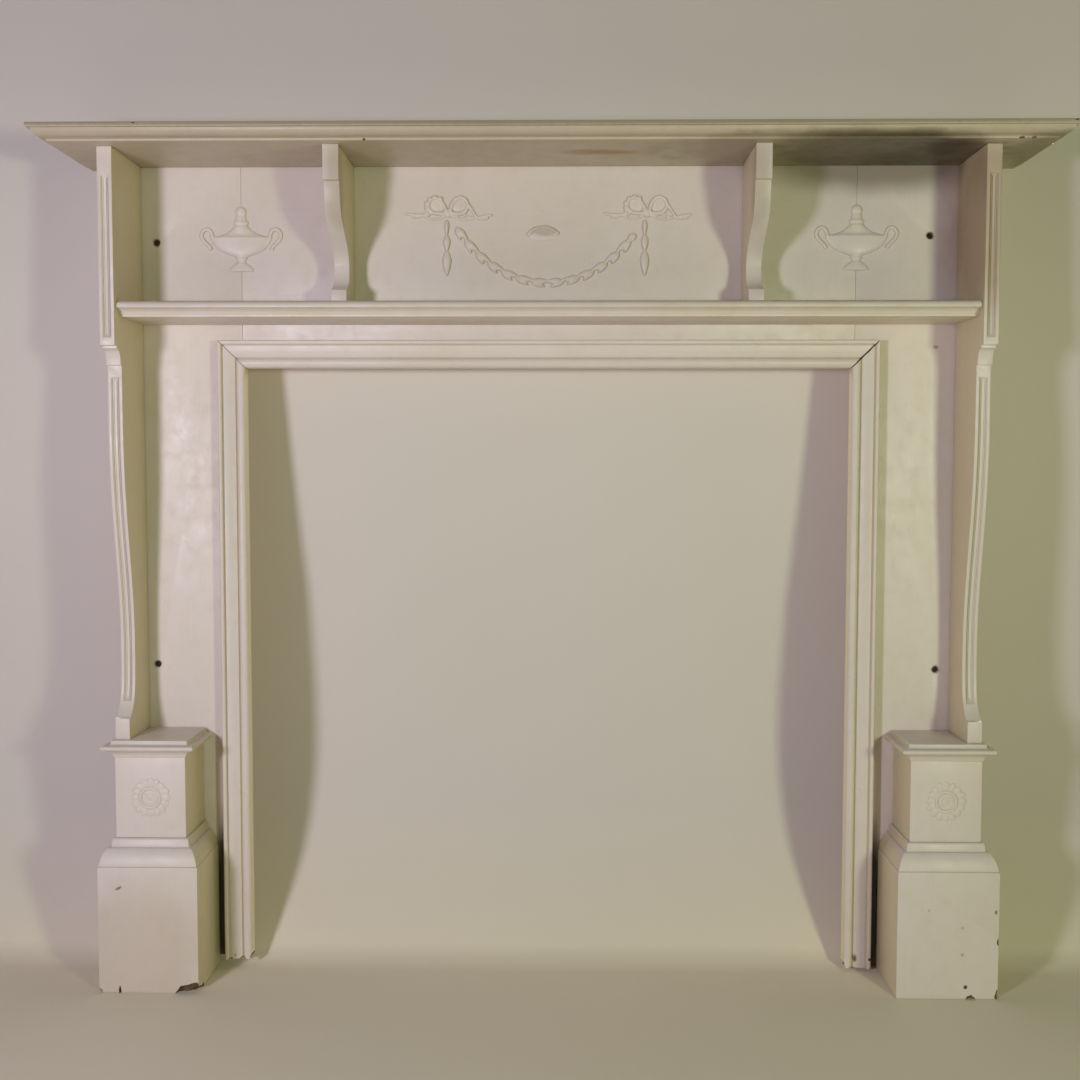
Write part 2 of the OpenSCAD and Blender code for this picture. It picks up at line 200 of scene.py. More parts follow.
def spot(tree, place, shift, colour, at, size, tint, strength=1.0, ragged=0.35, slope=0.0):
    """Lays a soft-edged mark of its own tint over a colour, about a point and its three half
    sizes; shift makes its outline ragged, and slope turns a long mark up from level, in degrees."""
    away = add(tree, "ShaderNodeVectorMath", {0: place, 1: at}, operation="SUBTRACT")
    level = add(tree, "ShaderNodeVectorRotate", {"Vector": away.outputs[0], "Angle": math.radians(slope)},
                rotation_type="Y_AXIS")
    share = add(tree, "ShaderNodeVectorMath", {0: level.outputs[0], 1: [1 / s for s in size]},
                operation="MULTIPLY")
    rough = add(tree, "ShaderNodeVectorMath", {
        0: shift, 1: (ragged * 3,) * 3, 2: share.outputs[0]}, operation="MULTIPLY_ADD")
    reach = add(tree, "ShaderNodeVectorMath", {0: rough.outputs[0]}, operation="LENGTH")
    mask = add(tree, "ShaderNodeMapRange", {
        "Value": reach.outputs["Value"], "From Min": 0.45 + ragged * 0.3, "From Max": 1.15,
        "To Min": strength, "To Max": 0.0}, interpolation_type="SMOOTHSTEP")
    laid = add(tree, "ShaderNodeMix", {0: mask.outputs[0], 6: colour, 7: linear(tint)}, data_type="RGBA")
    return laid.outputs[2]


def gloss_paint(name, along, marks=(), tone="#e6dedb", aged="#e0d7ce", grime_and_shade=0.22, chips=0.0):
    """Oil gloss paint on pine: many cream coats, brushed along one axis and yellowed, grubby and with painted
    shade in the corners and on the faces that look sideways, a painted highlight on the arrises, and some
    chips there."""
    made = bpy.data.materials.new(name)
    made.use_nodes = True
    tree = made.node_tree
    tree.nodes.clear()
    place = add(tree, "ShaderNodeTexCoord").outputs["Object"]

    # Brush marks 2.5 mm apart that run 120 mm, and a cloudy yellowing 200 mm across
    stroke = [1 / (2.5 * MM)] * 3
    stroke[along] = 1 / (120 * MM)
    drawn = add(tree, "ShaderNodeMapping", {"Vector": place, "Scale": stroke}).outputs[0]
    brush = add(tree, "ShaderNodeTexNoise", {
        "Vector": drawn, "Scale": 1.0, "Detail": 3.0, "Roughness": 0.6, "Distortion": 0.3})
    cloud = add(tree, "ShaderNodeTexNoise", {
        "Vector": place, "Scale": 1 / (200 * MM), "Detail": 3.0, "Roughness": 0.65})
    yellow = add(tree, "ShaderNodeMapRange", {
        "Value": cloud.outputs["Fac"], "From Min": 0.35, "From Max": 0.7, "To Max": 0.7})
    colour = add(tree, "ShaderNodeMix", {
        0: yellow.outputs[0], 6: linear(tone), 7: linear(aged)}, data_type="RGBA").outputs[2]
    streak = add(tree, "ShaderNodeMapRange", {
        "Value": brush.outputs["Fac"], "From Min": 0.3, "From Max": 0.7, "To Min": 0.0, "To Max": 0.08})
    colour = add(tree, "ShaderNodeMix", {
        0: streak.outputs[0], 6: colour, 7: linear("#c9b996")}, data_type="RGBA").outputs[2]

    # Faint greasy mottling 25 mm across
    mottle = add(tree, "ShaderNodeTexNoise", {
        "Vector": place, "Scale": 1 / (25 * MM), "Detail": 3.0, "Roughness": 0.7})
    handled = add(tree, "ShaderNodeMapRange", {
        "Value": mottle.outputs["Fac"], "From Min": 0.5, "From Max": 0.85, "To Max": 0.14})
    colour = add(tree, "ShaderNodeMix", {
        0: handled.outputs[0], 6: colour, 7: linear("#b9aa8c")}, data_type="RGBA").outputs[2]

    # Painted shade: faces that look sideways are made yellower and darker by which way they face
    turned_to = add(tree, "ShaderNodeSeparateXYZ", {
        "Vector": add(tree, "ShaderNodeTexCoord").outputs["Normal"]}).outputs["X"]
    sideways = add(tree, "ShaderNodeMath", {0: turned_to}, operation="ABSOLUTE")
    side_shade = add(tree, "ShaderNodeMapRange", {
        "Value": sideways.outputs[0], "From Min": 0.6, "From Max": 0.95, "To Max": 0.75})
    colour = add(tree, "ShaderNodeMix", {
        0: side_shade.outputs[0], 6: colour, 7: linear("#dccfa4")}, data_type="RGBA").outputs[2]

    # Painted shade, with dirt that the cloth never reached, darkens corners and quirks
    shade = add(tree, "ShaderNodeAmbientOcclusion", {"Distance": 9 * MM}, samples=3)
    corner_shade = add(tree, "ShaderNodeMapRange", {
        "Value": shade.outputs["AO"], "From Min": 0.1, "From Max": 0.7, "To Min": grime_and_shade, "To Max": 0.0})
    colour = add(tree, "ShaderNodeMix", {
        0: corner_shade.outputs[0], 6: colour, 7: linear("#7d6c4c")}, data_type="RGBA").outputs[2]

    # Arrises lightened by a painted highlight, with chips down to dark old pine where they were knocked
    bent = add(tree, "ShaderNodeBevel", {"Radius": 2.2 * MM}, samples=2)
    flat = add(tree, "ShaderNodeNewGeometry")
    same = add(tree, "ShaderNodeVectorMath", {0: bent.outputs[0], 1: flat.outputs["Normal"]},
               operation="DOT_PRODUCT")
    edge = add(tree, "ShaderNodeMapRange", {
        "Value": same.outputs["Value"], "From Min": 0.985, "From Max": 0.86})
    open_edge = add(tree, "ShaderNodeMath", {0: edge.outputs[0], 1: shade.outputs["AO"]},
                    operation="MULTIPLY")
    edge_highlight = add(tree, "ShaderNodeMath", {0: open_edge.outputs[0], 1: 0.5}, operation="MULTIPLY")
    colour = add(tree, "ShaderNodeMix", {
        0: edge_highlight.outputs[0], 6: colour, 7: linear("#f3ebdc")}, data_type="RGBA").outputs[2]
    knock = add(tree, "ShaderNodeTexNoise", {
        "Vector": place, "Scale": 1 / (9 * MM), "Detail": 3.0, "Roughness": 0.7})
    bare = add(tree, "ShaderNodeMapRange", {
        "Value": knock.outputs["Fac"], "From Min": 0.74 - chips, "From Max": 0.76 - chips})
    chipped = add(tree, "ShaderNodeMath", {0: bare.outputs[0], 1: open_edge.outputs[0]},
                  operation="MULTIPLY")
    colour = add(tree, "ShaderNodeMix", {
        0: chipped.outputs[0], 6: colour, 7: linear("#6f5434")}, data_type="RGBA").outputs[2]

    # Fly spots and small knocks, about one in each 45 mm square
    cell = add(tree, "ShaderNodeTexVoronoi", {"Vector": place, "Scale": 1 / (45 * MM)})
    fleck = add(tree, "ShaderNodeMapRange", {
        "Value": cell.outputs["Distance"], "From Min": 0.012, "From Max": 0.024,
        "To Min": 0.5, "To Max": 0.0})
    colour = add(tree, "ShaderNodeMix", {
        0: fleck.outputs[0], 6: colour, 7: linear("#8a7658")}, data_type="RGBA").outputs[2]

    # Marks of its own: those thinner than 9 mm are ragged every 7 mm, and the broad ones every 35 mm
    broad = 9 * MM
    shifts = []
    for ragged_every in (7, 35) if marks else ():
        wobble = add(tree, "ShaderNodeTexNoise", {
            "Vector": place, "Scale": 1 / (ragged_every * MM), "Detail": 3.0})
        centred = add(tree, "ShaderNodeVectorMath", {0: wobble.outputs["Color"], 1: (0.5, 0.5, 0.5)},
                      operation="SUBTRACT")
        shifts.append(centred.outputs[0])
    for mark in marks:
        colour = spot(tree, place, shifts[min(mark["size"]) > broad], colour, **mark)

    # Gloss dulled by wear; relief from brush marks, sags and dust nibs in the coats
    dull = add(tree, "ShaderNodeMapRange", {
        "Value": mottle.outputs["Fac"], "From Min": 0.3, "From Max": 0.7, "To Min": 0.36, "To Max": 0.50})
    sag = add(tree, "ShaderNodeTexNoise", {"Vector": place, "Scale": 1 / (34 * MM), "Detail": 2.0})
    nib = add(tree, "ShaderNodeTexNoise", {"Vector": place, "Scale": 1 / (5 * MM), "Detail": 2.0})
    relief = add(tree, "ShaderNodeBump", {
        "Height": sag.outputs["Fac"], "Distance": 0.6 * MM, "Strength": 0.5})
    relief = add(tree, "ShaderNodeBump", {
        "Height": nib.outputs["Fac"], "Distance": 0.16 * MM, "Strength": 0.5, "Normal": relief.outputs[0]})
    relief = add(tree, "ShaderNodeBump", {
        "Height": brush.outputs["Fac"], "Distance": 0.10 * MM, "Strength": 0.6, "Normal": relief.outputs[0]})
    shader = add(tree, "ShaderNodeBsdfPrincipled", {
        "Base Color": colour, "Roughness": dull.outputs[0], "IOR": 1.48, "Normal": relief.outputs[0],
        "Specular IOR Level": 0.5})
    add(tree, "ShaderNodeOutputMaterial", {"Surface": shader.outputs["BSDF"]})
    return made


def old_pine(name, along, pale, dark):
    """Unpainted pine, planed: grain lines 1.5 mm apart along one axis, figure 22 mm wide, browned by
    age and grey with dust, dry and without gloss."""
    made = bpy.data.materials.new(name)
    made.use_nodes = True
    tree = made.node_tree
    tree.nodes.clear()
    place = add(tree, "ShaderNodeTexCoord").outputs["Object"]
    spacing = [1 / (1.5 * MM)] * 3
    spacing[along] = 1 / (60 * MM)
    drawn = add(tree, "ShaderNodeMapping", {"Vector": place, "Scale": spacing}).outputs[0]
    line = add(tree, "ShaderNodeTexNoise", {"Vector": drawn, "Scale": 1.0, "Detail": 4.0})
    broad = [1 / (22 * MM)] * 3
    broad[along] = 1 / (700 * MM)
    figure = add(tree, "ShaderNodeMapping", {"Vector": place, "Scale": broad}).outputs[0]
    band = add(tree, "ShaderNodeTexNoise", {"Vector": figure, "Scale": 1.0, "Detail": 3.0, "Distortion": 0.6})
    both = add(tree, "ShaderNodeMath", {0: line.outputs["Fac"], 1: band.outputs["Fac"]}, operation="ADD")
    share = add(tree, "ShaderNodeMapRange", {"Value": both.outputs[0], "From Min": 0.75, "From Max": 1.25})
    wood = add(tree, "ShaderNodeMix", {
        0: share.outputs[0], 6: linear(dark), 7: linear(pale)}, data_type="RGBA")
    grey = add(tree, "ShaderNodeTexNoise", {"Vector": place, "Scale": 1 / (150 * MM), "Detail": 4.0})
    dusty = add(tree, "ShaderNodeMapRange", {
        "Value": grey.outputs["Fac"], "From Min": 0.4, "From Max": 0.8, "To Max": 0.6})
    worn = add(tree, "ShaderNodeMix", {0: dusty.outputs[0], 6: wood.outputs[2], 7: linear("#6d5c46")},
               data_type="RGBA")
    torn = add(tree, "ShaderNodeBump", {"Height": line.outputs["Fac"], "Distance": 0.4 * MM, "Strength": 0.8})
    shader = add(tree, "ShaderNodeBsdfPrincipled", {
        "Base Color": worn.outputs[2], "Roughness": 0.75, "IOR": 1.5, "Normal": torn.outputs[0]})
    add(tree, "ShaderNodeOutputMaterial", {"Surface": shader.outputs["BSDF"]})
    return made


# Planed pine of the wall side, by the axis its grain runs along: never painted, browned and dusty
back_pine = {0: old_pine("bare_pine_level", 0, "#b59a72", "#866a4a"),
             2: old_pine("bare_pine_upright", 2, "#b59a72", "#866a4a")}
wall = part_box("frieze_board")[1].y


def paint(piece, coat, along):
    """Paints a piece all over but for its back, which stands against the wall and is bare pine."""
    piece.data.materials.append(coat)
    piece.data.materials.append(back_pine[along])
    for face in piece.data.polygons:
        if face.normal.y > 0.99 and face.center.y > wall - 1 * MM:
            face.material_index = 1


def copy_of(node):
    """A copy of a CAD node as one merged mesh, ready for its arrises to be eased."""
    bpy.ops.object.select_all(action="DESELECT")
    source = frame["nodes"][node]
    source.select_set(True)
    bpy.context.view_layer.objects.active = source
    bpy.ops.object.duplicate()
    made = bpy.context.active_object
    bpy.ops.object.parent_clear(type="CLEAR_KEEP_TRANSFORM")
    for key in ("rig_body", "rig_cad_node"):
        del made[key]
    made.name = "painted_" + node
    made.data.materials.clear()
    bpy.ops.mesh.customdata_custom_splitnormals_clear()
    bpy.ops.object.mode_set(mode="EDIT")
    bpy.ops.mesh.select_all(action="SELECT")
    bpy.ops.mesh.remove_doubles(threshold=0.01 * MM)
    bpy.ops.mesh.dissolve_limited(angle_limit=math.radians(0.5))
    bpy.ops.object.mode_set(mode="OBJECT")
    return made


def apply(piece, kind, **settings):
    """Adds a modifier with its settings and applies it."""
    bpy.ops.object.select_all(action="DESELECT")
    piece.select_set(True)
    bpy.context.view_layer.objects.active = piece
    bpy.ops.object.modifier_add(type=kind)
    modifier = piece.modifiers[-1]
    for name, value in settings.items():
        setattr(modifier, name, value)
    bpy.ops.object.modifier_apply(modifier=modifier.name)


def ease(piece, arris):
    """Rounds every sharp arris, as sanding and thick paint do."""
    apply(piece, "BEVEL", width=arris, segments=3, limit_method="ANGLE", angle_limit=math.radians(32),
          use_clamp_overlap=False, loop_slide=False)
    bpy.ops.object.shade_smooth_by_angle(angle=math.radians(38))


def fix(piece, node):
    """Sets a finished piece on the mantelpiece in place of its CAD node."""
    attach(piece, "root")
    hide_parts(node)


board_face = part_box("frieze_board")[0].y
screws = ((-0.627, 1.177), (-0.636, 0.497), (0.607, 1.186), (0.628, 0.492))
# Each screw hole is painted dark to its bottom as painted shade, in a grubby ring
screw_marks = [
    {"at": (x, board_face, z), "size": (7.5 * MM,) * 3, "tint": "#8a7455", "strength": 0.55}
    for x, z in screws] + [
    {"at": (x, board_face, z), "size": (6.2 * MM, 60 * MM, 6.2 * MM), "tint": "#150e07",
     "strength": 0.97, "ragged": 0.1}
    for x, z in screws]
nick = {
    "at": (0.6195, board_face, 1.0105), "size": (5 * MM, 6 * MM, 3 * MM), "tint": "#85765a", "strength": 0.6}
soot_on_board = {
    "at": (0.52, board_face, 1.305), "size": (0.23, 0.05, 0.058), "tint": "#6f634c",
    "strength": 0.72, "ragged": 0.05}
# Painted shade darkens the slots beside the plinths almost to black
slot_shade = [
    {"at": (x, board_face, 0.10), "size": (0.013, 0.03, 0.155), "tint": "#241a10",
     "strength": 0.95, "ragged": 0.1}
    for x in (-0.5335, 0.5335)]
# Hands have dulled the brackets' edges, and the corner of the right-hand niche is made browner and darker
handled_edges = [
    {"at": (x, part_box(name)[0].y, 1.21), "size": (0.03, 0.05, 0.12), "tint": "#9b8b6c",
     "strength": 0.42, "ragged": 0.1} for name, x in (("bracket_left", -0.31), ("bracket_right", 0.31))]
browned = {
    "at": (0.665, -0.03, 1.19), "size": (0.070, 0.18, 0.16), "tint": "#a08055",
    "strength": 0.55, "ragged": 0.1}
upright_paint = gloss_paint(
    "cream_gloss_upright", 2, screw_marks + slot_shade + handled_edges + [nick, soot_on_board, browned])
frieze_paint = gloss_paint("cream_gloss_frieze", 0, [soot_on_board])

for node, coat, along in (("frieze_board", frieze_paint, 0), ("jamb_board_left", upright_paint, 2),
                          ("jamb_board_right", upright_paint, 2)):
    board = copy_of(node)
    ease(board, 0.3 * MM)
    paint(board, coat, along)
    fix(board, node)


# ---------------------------------------------------------------------------
# Uprights and brackets: sawn to a curve from pine plank, the uprights with a
# double flute worked down their front edge, then nailed to the back boards.
# ---------------------------------------------------------------------------

for node in ("side_panel_left", "side_panel_right", "bracket_left", "bracket_right"):
    plank = copy_of(node)
    ease(plank, 0.9 * MM)
    paint(plank, upright_paint, 2)
    fix(plank, node)


# ---------------------------------------------------------------------------
# Shelves: the mantelshelf is a thick plank with an ovolo worked round three
# sides; the lower shelf is let in between the uprights. Soot and a rust ring
# have stained the top one, and its lower fillet is chipped.
# ---------------------------------------------------------------------------

# Old pine where a chip or a kick has bared it: dark, dry and split
bare_pine = old_pine("bare_knocked_pine", 2, "#8a6d47", "#3d2f1e")


def bite(piece, at, size, seed):
    """Knocks a chip out of a piece: a rough lump is cut away and bare wood shows."""
    bpy.ops.object.select_all(action="DESELECT")
    bpy.ops.mesh.primitive_ico_sphere_add(subdivisions=2, radius=1, location=at)
    lump = bpy.context.active_object
    lump.scale = size
    bpy.ops.object.transform_apply(location=False, rotation=False, scale=True)
    bpy.ops.object.mode_set(mode="EDIT")
    bpy.ops.mesh.select_all(action="SELECT")
    bpy.ops.transform.vertex_random(offset=min(size) * 0.35, uniform=1.0, seed=seed)
    bpy.ops.object.mode_set(mode="OBJECT")
    lump.data.materials.append(bare_pine)
    if bare_pine.name not in piece.data.materials:
        piece.data.materials.append(bare_pine)
    apply(piece, "BOOLEAN", operation="DIFFERENCE", object=lump, solver="MANIFOLD", material_mode="TRANSFER")
    bpy.data.objects.remove(lump)


shelf_low, shelf_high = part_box("mantelshelf")
lip = shelf_low.y + 22.5 * MM
shelf_marks = [
    {"at": (0.50, -0.02, shelf_low.z), "size": (0.185, 0.15, 0.012), "tint": "#43381f", "strength": 0.86,
     "ragged": 0.12},
    {"at": (0.60, 0.02, shelf_low.z), "size": (0.11, 0.10, 0.012), "tint": "#33291a", "strength": 0.6},
    {"at": (0.34, -0.03, shelf_low.z), "size": (0.20, 0.12, 0.012), "tint": "#7a6a4a", "strength": 0.4},
    {"at": (0.47, shelf_low.y, shelf_low.z + 0.007), "size": (0.16, 0.05, 0.010), "tint": "#6a5e4a",
     "strength": 0.28, "ragged": 0.2},
    {"at": (0.44, shelf_low.y, shelf_low.z + 0.007), "size": (0.05, 0.04, 0.006), "tint": "#574b3d",
     "strength": 0.22},
    {"at": (0.55, shelf_low.y, shelf_low.z + 0.008), "size": (0.03, 0.04, 0.006), "tint": "#574b3d",
     "strength": 0.22},
    # Darker under the shelf's right end
    {"at": (0.755, -0.02, shelf_low.z), "size": (0.075, 0.14, 0.012), "tint": "#5d5236", "strength": 0.6,
     "ragged": 0.15},
    {"at": (0, shelf_low.y, shelf_high.z), "size": (1.2, 0.030, 0.008), "tint": "#7a6a4c", "strength": 0.5,
     "ragged": 0.12},
    {"at": (0.080, -0.010, shelf_low.z), "size": (0.070, 0.020, 0.02), "tint": "#b5823f",
     "strength": 0.62, "ragged": 0.25},
    {"at": (0.095, -0.010, shelf_low.z), "size": (0.040, 0.010, 0.02), "tint": "#a0682f",
     "strength": 0.5, "ragged": 0.25}]
# The shelf's coats are greyer and browner than the rest, from smoke
shelf_paint = gloss_paint(
    "cream_gloss_shelf", 0, shelf_marks, tone="#cabfae", aged="#bfb29a", grime_and_shade=0.4, chips=0.03)
shelf = copy_of("mantelshelf")
ease(shelf, 0.7 * MM)
paint(shelf, shelf_paint, 0)
for seed, (x, y, z, across) in enumerate((
        (0.6906, lip, shelf_low.z, 4.0), (0.7079, lip, shelf_low.z, 3.6), (-0.2676, lip, shelf_low.z, 2.5),
        (0.7600, shelf_low.y, shelf_high.z, 3.0), (-0.60, shelf_low.y, shelf_high.z, 2.5))):
    bite(shelf, (x, y, z), (across * MM, 3 * MM, 3 * MM), seed + 1)
fix(shelf, "mantelshelf")

# The ledge's coats are a little yellower, from dusting
ledge_paint = gloss_paint("cream_gloss_ledge", 0, aged="#ddd0b9", grime_and_shade=0.3)
ledge = copy_of("lower_shelf")
ease(ledge, 0.6 * MM)
paint(ledge, ledge_paint, 0)
fix(ledge, "lower_shelf")


# ---------------------------------------------------------------------------
# Architrave: three lengths of one machine-run moulding, mitred and nailed round
# the opening. The right mitre has opened and both feet are kicked ragged.
# ---------------------------------------------------------------------------

foot_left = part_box("architrave_left")
foot_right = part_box("architrave_right")
# The right mitre gapes and has filled with dirt, along its slope of 45 degrees
mitre_marks = [
    {"at": (0.5040, foot_right[0].y, 0.9975), "size": (30 * MM, 40 * MM, 1.5 * MM), "tint": "#3d2e1f",
     "strength": 0.9, "ragged": 0.3, "slope": 45}]
leg_marks = mitre_marks + [
    {"at": (0.5016, foot_right[0].y + 12 * MM, 0.0214), "size": (4 * MM, 8 * MM, 8 * MM), "tint": "#7a5636"},
    {"at": (0.5243, foot_right[0].y + 3 * MM, 0.021), "size": (4 * MM, 8 * MM, 3 * MM), "tint": "#5e4a30"},
    {"at": (-0.5105, foot_left[0].y + 12 * MM, 0.0204), "size": (5 * MM, 8 * MM, 6 * MM), "tint": "#57462c"}]
# The same cream gloss, brushed along each length
leg_paint = gloss_paint("cream_gloss_legs", 2, leg_marks, chips=0.03)
head_paint = gloss_paint("cream_gloss_head", 0, mitre_marks)
leg_bites = {
    "architrave_left": (
        (foot_left[1].x, foot_left[0].y + 14 * MM, foot_left[0].z, 9, 12, 9),
        (foot_left[1].x - 14 * MM, foot_left[0].y + 10 * MM, foot_left[0].z, 7, 8, 5),
        (foot_left[0].x + 10 * MM, foot_left[0].y + 2 * MM, foot_left[0].z, 6, 5, 3)),
    "architrave_right": (
        (foot_right[0].x, foot_right[0].y + 14 * MM, foot_right[0].z, 8, 12, 10),
        (foot_right[0].x + 9 * MM, foot_right[0].y + 10 * MM, foot_right[0].z, 6, 7, 5),
        (foot_right[1].x, foot_right[0].y, foot_right[0].z, 4, 4, 3))}
for node, coat, along in (("architrave_head", head_paint, 0), ("architrave_left", leg_paint, 2),
                          ("architrave_right", leg_paint, 2)):
    moulding = copy_of(node)
    ease(moulding, 0.9 * MM)
    paint(moulding, coat, along)
    for seed, (x, y, z, sx, sy, sz) in enumerate(leg_bites.get(node, ())):
        bite(moulding, (x, y, z), (sx * MM, sy * MM, sz * MM), seed + 11)
    fix(moulding, node)


# ---------------------------------------------------------------------------
# Plinths: a square block, a moulding, a plain die and a moulded cap, built up
# and nailed. Brooms and boots have knocked the bottom corners of the blocks.
# ---------------------------------------------------------------------------

low_left, high_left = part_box("plinth_base_left")
low_right, high_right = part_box("plinth_base_right")
plinth_marks = [
    # The left block's front is darker and yellower over a broad patch
    {"at": (-0.64, low_left.y, 0.06), "size": (0.13, 0.05, 0.14), "tint": "#b8a688", "strength": 0.35,
     "ragged": 0.1},
    {"at": (-0.6623, low_left.y, 0.1663), "size": (7 * MM, 4 * MM, 2.4 * MM), "tint": "#766a58",
     "strength": 0.85, "slope": 24},
    {"at": (-0.6628, low_left.y, 0.004), "size": (2.2 * MM, 8 * MM, 8 * MM), "tint": "#4b3f2c"},
    {"at": (0.6456, low_right.y, 0.0192), "size": (3.4 * MM, 4 * MM, 3.4 * MM), "tint": "#4f4330"},
    {"at": (0.6400, low_right.y, 0.0702), "size": (2.6 * MM, 4 * MM, 3 * MM), "tint": "#8c7e64",
     "strength": 0.5},
    {"at": (0.6400, low_right.y, 0.112), "size": (2.0 * MM, 4 * MM, 2.6 * MM), "tint": "#998b71",
     "strength": 0.5},
    {"at": (0.5880, low_right.y, 0.139), "size": (2.2 * MM, 4 * MM, 2.2 * MM), "tint": "#a39680",
     "strength": 0.45},
    {"at": (0.6905, low_right.y, 0.1364), "size": (2.2 * MM, 5 * MM, 4 * MM), "tint": "#6f6046",
     "strength": 0.8}]
# Cream gloss again, knocked through to the wood along the arrises
plinth_paint = gloss_paint("cream_gloss_plinths", 2, plinth_marks, grime_and_shade=0.25, chips=0.045)
base_bites = {
    "plinth_base_left": (
        (high_left.x - 6 * MM, low_left.y, -1 * MM, 30, 15, 15),
        (high_left.x - 26 * MM, low_left.y, 0, 12, 10, 6),
        (high_left.x, low_left.y + 14 * MM, 0, 8, 18, 8),
        (-0.6628, low_left.y, 1 * MM, 1.6, 5, 8),
        (low_left.x - 2 * MM, low_left.y, -2 * MM, 9, 12, 12)),
    "plinth_base_right": (
        (0.6545, low_right.y, 0, 8, 6, 6),
        (high_right.x, low_right.y, 7 * MM, 5, 5, 9),
        (high_right.x, low_right.y, 0.0905, 3, 3, 6))}
for side in ("left", "right"):
    for part, arris in (("base", 1.4), ("moulding", 0.8), ("die", 1.2), ("cap", 0.9)):
        node = f"plinth_{part}_{side}"
        block = copy_of(node)
        ease(block, arris * MM)
        paint(block, plinth_paint, 2)
        for seed, (x, y, z, sx, sy, sz) in enumerate(base_bites.get(node, ())):
            bite(block, (x, y, z), (sx * MM, sy * MM, sz * MM), seed + 31)
        fix(block, node)


# ---------------------------------------------------------------------------
# Urns: composition pressed in a mould and glued over the board joints: foot,
# knop, wide bowl and hollow lid, with a curled handle at each end of the rim.
# ---------------------------------------------------------------------------

# So many coats that the relief is soft, with dirt and painted shade darkening its hollows
ornament_paint = gloss_paint("cream_gloss_ornament", 2, grime_and_shade=0.6)


def turned(at, rings, sides=40):
    """A body drawn up from a disc through its rings of (half width, proud, height) in mm."""
    bpy.ops.object.select_all(action="DESELECT")
    x, y, z = at
    wide, proud, height = rings[0]
    bpy.ops.mesh.primitive_circle_add(
        vertices=sides, radius=wide * MM, fill_type="NGON", location=(x, y, z + height * MM))
    made = bpy.context.active_object
    bpy.ops.object.mode_set(mode="EDIT")
    bpy.ops.mesh.select_all(action="SELECT")
    bpy.ops.transform.resize(value=(1, proud / wide, 1), center_override=(x, y, z))
    for (w0, p0, h0), (w1, p1, h1) in zip(rings, rings[1:]):
        bpy.ops.mesh.extrude_region_move(TRANSFORM_OT_translate={"value": (0, 0, (h1 - h0) * MM)})
        bpy.ops.transform.resize(value=(w1 / w0, p1 / p0, 1), center_override=(x, y, z + h1 * MM))
    bpy.ops.mesh.select_all(action="SELECT")
    bpy.ops.mesh.normals_make_consistent(inside=False)
    bpy.ops.object.mode_set(mode="OBJECT")
    bpy.ops.object.transform_apply(location=True, rotation=True, scale=True)
    return made


def roll_of(at, points, radius, flat=1.0):
    """A round strand along points of (x, height) in mm, pressed flat towards the board."""
    bpy.ops.object.select_all(action="DESELECT")
    bpy.ops.curve.primitive_bezier_curve_add(location=(0, 0, 0))
    strand = bpy.context.active_object
    spline = strand.data.splines[0]
    spline.bezier_points.add(len(points) - 2)
    for knot, (x, z) in zip(spline.bezier_points, points):
        knot.co = Vector(at) + Vector((x * MM, 0, z * MM))
        knot.handle_left_type = "AUTO"
        knot.handle_right_type = "AUTO"
    strand.data.bevel_depth = radius * MM
    strand.data.bevel_resolution = 3
    strand.data.resolution_u = 6
    strand.data.use_fill_caps = True
    bpy.ops.object.convert(target="MESH")
    made = bpy.context.active_object
    bpy.ops.object.mode_set(mode="EDIT")
    bpy.ops.mesh.select_all(action="SELECT")
    bpy.ops.transform.resize(value=(1, flat, 1), center_override=at)
    bpy.ops.object.mode_set(mode="OBJECT")
    return made


def moulded(parts, name, grain, soften, face=board_face):
    """Joins an ornament's parts into one skin, blurs it with coats of paint and beds it on its ground."""
    bpy.ops.object.select_all(action="DESELECT")
    for part in parts:
        part.select_set(True)
    bpy.context.view_layer.objects.active = parts[0]
    bpy.ops.object.join()
    made = bpy.context.active_object
    made.name = name
    made.data.materials.clear()
    apply(made, "REMESH", mode="VOXEL", voxel_size=grain * MM)
    apply(made, "SMOOTH", factor=0.5, iterations=soften)
    bpy.ops.object.mode_set(mode="EDIT")
    bpy.ops.mesh.select_all(action="SELECT")
    bpy.ops.mesh.bisect(plane_co=(0, face + 0.5 * MM, 0), plane_no=(0, 1, 0), use_fill=True, clear_outer=True)
    bpy.ops.mesh.select_all(action="SELECT")
    bpy.ops.mesh.normals_make_consistent(inside=False)
    bpy.ops.object.mode_set(mode="OBJECT")
    bpy.ops.object.shade_smooth_by_angle(angle=math.radians(60))
    made.data.materials.append(ornament_paint)
    return made


def again(piece, name, place):
    """A copy of a piece with a mesh of its own, set in its place by a matrix."""
    bpy.ops.object.select_all(action="DESELECT")
    piece.select_set(True)
    bpy.context.view_layer.objects.active = piece
    bpy.ops.object.duplicate()
    made = bpy.context.active_object
    made.name = name
    made.data.transform(place)
    return made


